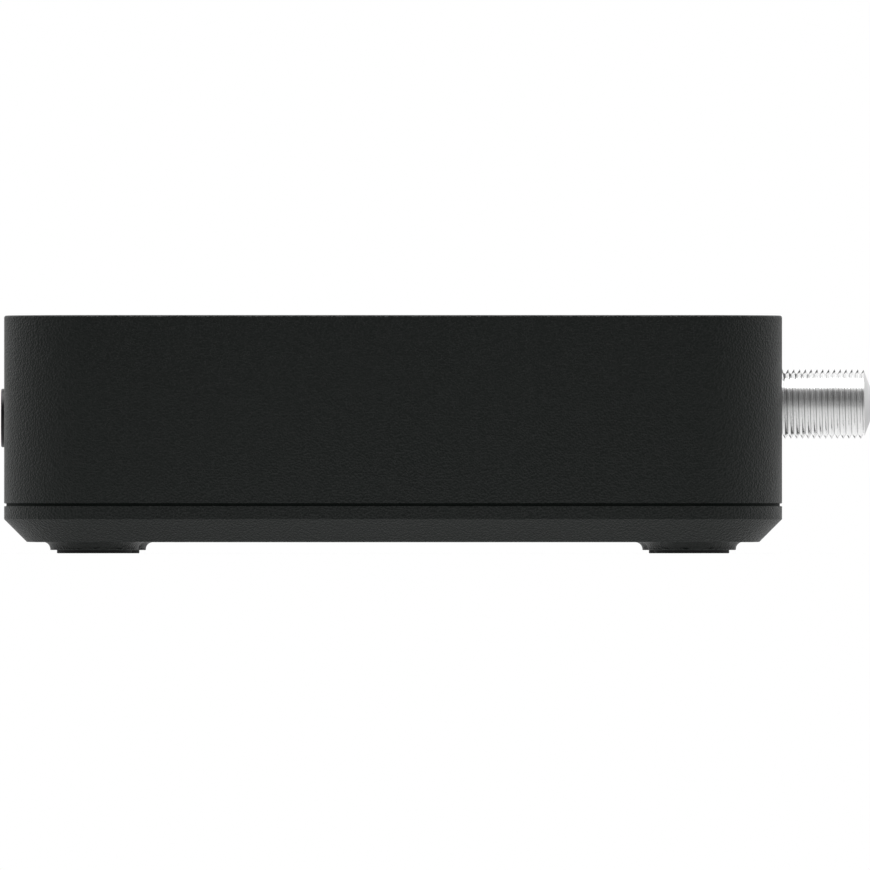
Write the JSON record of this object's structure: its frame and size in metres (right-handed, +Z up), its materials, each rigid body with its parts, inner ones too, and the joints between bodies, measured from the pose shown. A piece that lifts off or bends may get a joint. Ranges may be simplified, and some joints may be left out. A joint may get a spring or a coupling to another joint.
{
  "type": "satellite tv receiver",
  "caption": "Compact set-top satellite tv receiver: black two-part case on rubber feet, threaded antenna input and sockets on the rear, front power button and display window.",
  "frame": {"origin": "centre of the overall footprint, on the surface that the rubber feet stand on", "axes": "+X to the right-hand side seen from the front, +Y to the rear with the sockets, +Z up"},
  "size_m": [0.16, 0.1188, 0.0324],
  "materials": {
    "board_laminate": "green solder resist",
    "button_plastic": "polished",
    "can_aluminium": "printed sleeve",
    "case_plastic": "fine spark-eroded grain, matt",
    "chip_epoxy": "moulded epoxy",
    "coil_ferrite": "sintered",
    "contact_plate": "gold flash",
    "crystal_steel": "drawn can",
    "display_resin": "potted digit module",
    "foot_rubber": "matt",
    "header_plastic": "moulded",
    "heatsink_aluminium": "black anodised",
    "infrared_resin": "dark filter resin",
    "insulator_plastic": "natural",
    "lamp_resin": "tinted clear resin",
    "lamp_window": "light pipe",
    "lens_plastic": "polished smoked plastic",
    "nickel_plate": "bright nickel plate",
    "pad_silicone": "soft",
    "panel_plastic": "fine matt",
    "plunger_plastic": "moulded",
    "rocker_plastic": "satin",
    "screw_steel": "zinc plated",
    "shield_tinplate": "tin plated sheet",
    "shutter_plastic": "moulded",
    "socket_plastic": "moulded",
    "switch_plastic": "moulded",
    "tongue_plastic": "moulded",
    "tray_steel": "stamped"
  },
  "bodies": {
    "chassis": {"top_cover": "case_plastic", "base_tray": "case_plastic", "case_screws": "screw_steel", "rear_panel": "panel_plastic", "front_window": "lens_plastic", "button_switch": "switch_plastic", "display_board": "board_laminate", "display_screws": "screw_steel", "display_module": "display_resin", "infrared_receiver": "infrared_resin", "standby_lamp": "lamp_resin", "board_header": "header_plastic", "main_board": "board_laminate", "board_screws": "screw_steel", "tuner_shield": "shield_tinplate", "tuner_chip": "chip_epoxy", "lnb_socket": "nickel_plate", "lnb_insulator": "insulator_plastic", "lnb_contact": "contact_plate", "lan_socket": "socket_plastic", "lan_lamps": "lamp_window", "lan_contacts": "contact_plate", "usb_socket": "shield_tinplate", "usb_tongues": "tongue_plastic", "hdmi_socket": "shield_tinplate", "hdmi_tongue": "tongue_plastic", "optical_socket": "socket_plastic", "dc_socket": "socket_plastic", "dc_pin": "nickel_plate", "rocker_housing": "socket_plastic", "rocker_legs": "contact_plate", "card_reader": "tray_steel", "card_contacts": "contact_plate", "processor": "chip_epoxy", "thermal_pad": "pad_silicone", "heatsink": "heatsink_aluminium", "memory_chips": "chip_epoxy", "flash_chip": "chip_epoxy", "radio_module": "shield_tinplate", "coils": "coil_ferrite", "capacitors": "can_aluminium", "crystal": "crystal_steel", "foot_front_left": "foot_rubber", "foot_rear_left": "foot_rubber", "foot_front_right": "foot_rubber", "foot_rear_right": "foot_rubber"},
    "button": {"power_button": "button_plastic", "switch_plunger": "plunger_plastic"},
    "rocker": {"power_rocker": "rocker_plastic"},
    "shutter": {"optical_shutter": "shutter_plastic"}
  },
  "joints": [
    {"name": "power_button_press", "type": "slide", "parent": "chassis", "child": "button", "axis": [0, 1, 0], "range_m": [0, 0.00035], "stiffness_N_per_m": 1500},
    {"name": "power_rocker_tilt", "type": "hinge", "parent": "chassis", "child": "rocker", "pos_m": [-0.0542, 0.046, 0.0204], "axis": [0, 0, 1], "range_deg": [-24, 0]},
    {"name": "optical_shutter_swing", "type": "hinge", "parent": "chassis", "child": "shutter", "pos_m": [-0.0254, 0.04595, 0.01965], "axis": [-1, 0, 0], "range_deg": [0, 84], "stiffness_Nm_per_rad": 0.0004, "springref_deg": -11.46}
  ]
}
